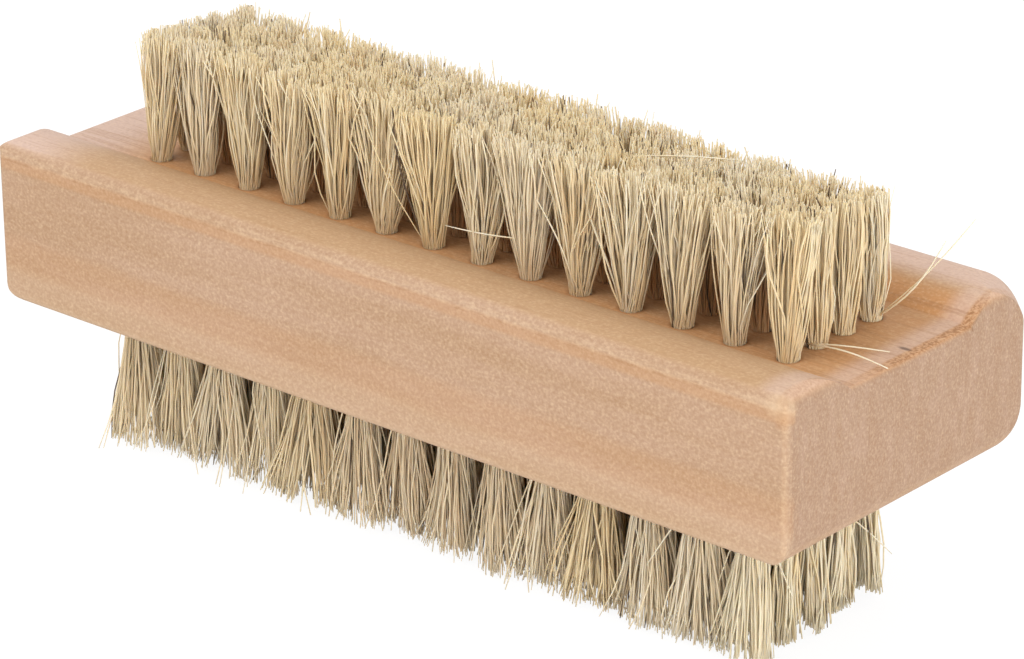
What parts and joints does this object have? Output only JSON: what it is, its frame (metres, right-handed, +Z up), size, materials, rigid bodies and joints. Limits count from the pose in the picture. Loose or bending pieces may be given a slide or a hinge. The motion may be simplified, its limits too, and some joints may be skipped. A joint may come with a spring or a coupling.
{
  "type": "nail brush",
  "caption": "Rectangular wooden nail brush with rows of natural bristle tufts in a sunken channel on top and across its flat underside.",
  "frame": {"origin": "middle of the bounding box at the plane of the lower bristle tips, which the brush rests on", "axes": "+X along the block, +Z up towards the upper bristles, -Y the long side nearest the viewer in the picture"},
  "size_m": [0.1, 0.0362, 0.0431],
  "materials": {
    "wood": "raw sanded",
    "bristle": "matte natural hair",
    "anchor_metal": "flat wire"
  },
  "bodies": {
    "root": {"block": "wood", "top_tufts_column_01": "bristle", "top_tufts_column_02": "bristle", "top_tufts_column_03": "bristle", "top_tufts_column_04": "bristle", "top_tufts_column_05": "bristle", "top_tufts_column_06": "bristle", "top_tufts_column_07": "bristle", "top_tufts_column_08": "bristle", "top_tufts_column_09": "bristle", "top_tufts_column_10": "bristle", "top_tufts_column_11": "bristle", "top_tufts_column_12": "bristle", "top_tufts_column_13": "bristle", "top_tufts_column_14": "bristle", "bottom_tufts_column_01": "bristle", "bottom_tufts_column_02": "bristle", "bottom_tufts_column_03": "bristle", "bottom_tufts_column_04": "bristle", "bottom_tufts_column_05": "bristle", "bottom_tufts_column_06": "bristle", "bottom_tufts_column_07": "bristle", "bottom_tufts_column_08": "bristle", "bottom_tufts_column_09": "bristle", "bottom_tufts_column_10": "bristle", "bottom_tufts_column_11": "bristle", "bottom_tufts_column_12": "bristle", "bottom_tufts_column_13": "bristle", "bottom_tufts_column_14": "bristle", "top_anchors_column_01": "anchor_metal", "top_anchors_column_02": "anchor_metal", "top_anchors_column_03": "anchor_metal", "top_anchors_column_04": "anchor_metal", "top_anchors_column_05": "anchor_metal", "top_anchors_column_06": "anchor_metal", "top_anchors_column_07": "anchor_metal", "top_anchors_column_08": "anchor_metal", "top_anchors_column_09": "anchor_metal", "top_anchors_column_10": "anchor_metal", "top_anchors_column_11": "anchor_metal", "top_anchors_column_12": "anchor_metal", "top_anchors_column_13": "anchor_metal", "top_anchors_column_14": "anchor_metal", "bottom_anchors_column_01": "anchor_metal", "bottom_anchors_column_02": "anchor_metal", "bottom_anchors_column_03": "anchor_metal", "bottom_anchors_column_04": "anchor_metal", "bottom_anchors_column_05": "anchor_metal", "bottom_anchors_column_06": "anchor_metal", "bottom_anchors_column_07": "anchor_metal", "bottom_anchors_column_08": "anchor_metal", "bottom_anchors_column_09": "anchor_metal", "bottom_anchors_column_10": "anchor_metal", "bottom_anchors_column_11": "anchor_metal", "bottom_anchors_column_12": "anchor_metal", "bottom_anchors_column_13": "anchor_metal", "bottom_anchors_column_14": "anchor_metal"}
  },
  "joints": []
}
